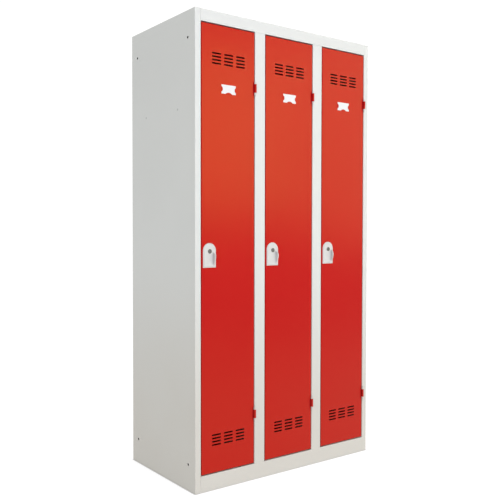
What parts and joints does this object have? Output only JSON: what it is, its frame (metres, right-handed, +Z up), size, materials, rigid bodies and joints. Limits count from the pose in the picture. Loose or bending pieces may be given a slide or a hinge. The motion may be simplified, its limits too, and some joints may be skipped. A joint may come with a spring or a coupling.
{
  "type": "clothing locker",
  "caption": "Free-standing sheet-steel clothing locker with full-height hinged doors, vent slots, name-card tabs, cam locks, hat shelves, hanging rails and coat hooks.",
  "frame": {"origin": "centre of the carcass footprint on the floor plane", "axes": "+Z up, -Y out of the door front, +X to the right of a person facing the doors"},
  "size_m": [0.9, 0.5175, 1.8],
  "materials": {
    "body_grey": "light grey powder coat, satin",
    "door_red": "signal red powder coat, satin",
    "lock_plastic": "light grey moulded plastic",
    "lock_metal": "satin nickel",
    "zinc_steel": "bright zinc plate",
    "white_card": "uncoated card",
    "black_rubber": "soft rubber"
  },
  "bodies": {
    "cabinet": {"side_panel_left": "body_grey", "side_panel_right": "body_grey", "back_panel": "body_grey", "top_panel": "body_grey", "base_pan": "body_grey", "top_rail": "body_grey", "bottom_rail": "body_grey", "partition_1": "body_grey", "partition_2": "body_grey", "middle_stile_1": "body_grey", "middle_stile_2": "body_grey", "rail_sockets": "zinc_steel", "hinge_pins": "zinc_steel", "hat_shelf_1": "body_grey", "hanging_rail_1": "zinc_steel", "coat_hooks_1": "zinc_steel", "frame_hinge_1": "body_grey", "hat_shelf_2": "body_grey", "hanging_rail_2": "zinc_steel", "coat_hooks_2": "zinc_steel", "frame_hinge_2": "body_grey", "hat_shelf_3": "body_grey", "hanging_rail_3": "zinc_steel", "coat_hooks_3": "zinc_steel", "frame_hinge_3": "body_grey"},
    "door_1": {"door_panel_1": "door_red", "door_stiffener_1": "door_red", "door_hinge_1": "door_red", "door_buffers_1": "black_rubber", "name_card_1": "white_card", "lock_plate_1": "lock_plastic", "lock_barrel_1": "lock_metal", "lock_nut_1": "zinc_steel"},
    "lock_1": {"lock_plug_1": "lock_metal", "lock_cam_1": "zinc_steel", "cam_screw_1": "zinc_steel"},
    "door_2": {"door_panel_2": "door_red", "door_stiffener_2": "door_red", "door_hinge_2": "door_red", "door_buffers_2": "black_rubber", "name_card_2": "white_card", "lock_plate_2": "lock_plastic", "lock_barrel_2": "lock_metal", "lock_nut_2": "zinc_steel"},
    "lock_2": {"lock_plug_2": "lock_metal", "lock_cam_2": "zinc_steel", "cam_screw_2": "zinc_steel"},
    "door_3": {"door_panel_3": "door_red", "door_stiffener_3": "door_red", "door_hinge_3": "door_red", "door_buffers_3": "black_rubber", "name_card_3": "white_card", "lock_plate_3": "lock_plastic", "lock_barrel_3": "lock_metal", "lock_nut_3": "zinc_steel"},
    "lock_3": {"lock_plug_3": "lock_metal", "lock_cam_3": "zinc_steel", "cam_screw_3": "zinc_steel"}
  },
  "joints": [
    {"name": "door_1_swing", "type": "hinge", "parent": "cabinet", "child": "door_1", "pos_m": [-0.1765, -0.2549, 0.9], "axis": [0, 0, 1], "range_deg": [0, 110]},
    {"name": "lock_1_turn", "type": "hinge", "parent": "door_1", "child": "lock_1", "pos_m": [-0.3875, -0.25, 0.905], "axis": [0, 1, 0], "range_deg": [0, 90]},
    {"name": "door_2_swing", "type": "hinge", "parent": "cabinet", "child": "door_2", "pos_m": [0.1235, -0.2549, 0.9], "axis": [0, 0, 1], "range_deg": [0, 110]},
    {"name": "lock_2_turn", "type": "hinge", "parent": "door_2", "child": "lock_2", "pos_m": [-0.0875, -0.25, 0.905], "axis": [0, 1, 0], "range_deg": [0, 90]},
    {"name": "door_3_swing", "type": "hinge", "parent": "cabinet", "child": "door_3", "pos_m": [0.4235, -0.2549, 0.9], "axis": [0, 0, 1], "range_deg": [0, 110]},
    {"name": "lock_3_turn", "type": "hinge", "parent": "door_3", "child": "lock_3", "pos_m": [0.2125, -0.25, 0.905], "axis": [0, 1, 0], "range_deg": [0, 90]}
  ]
}
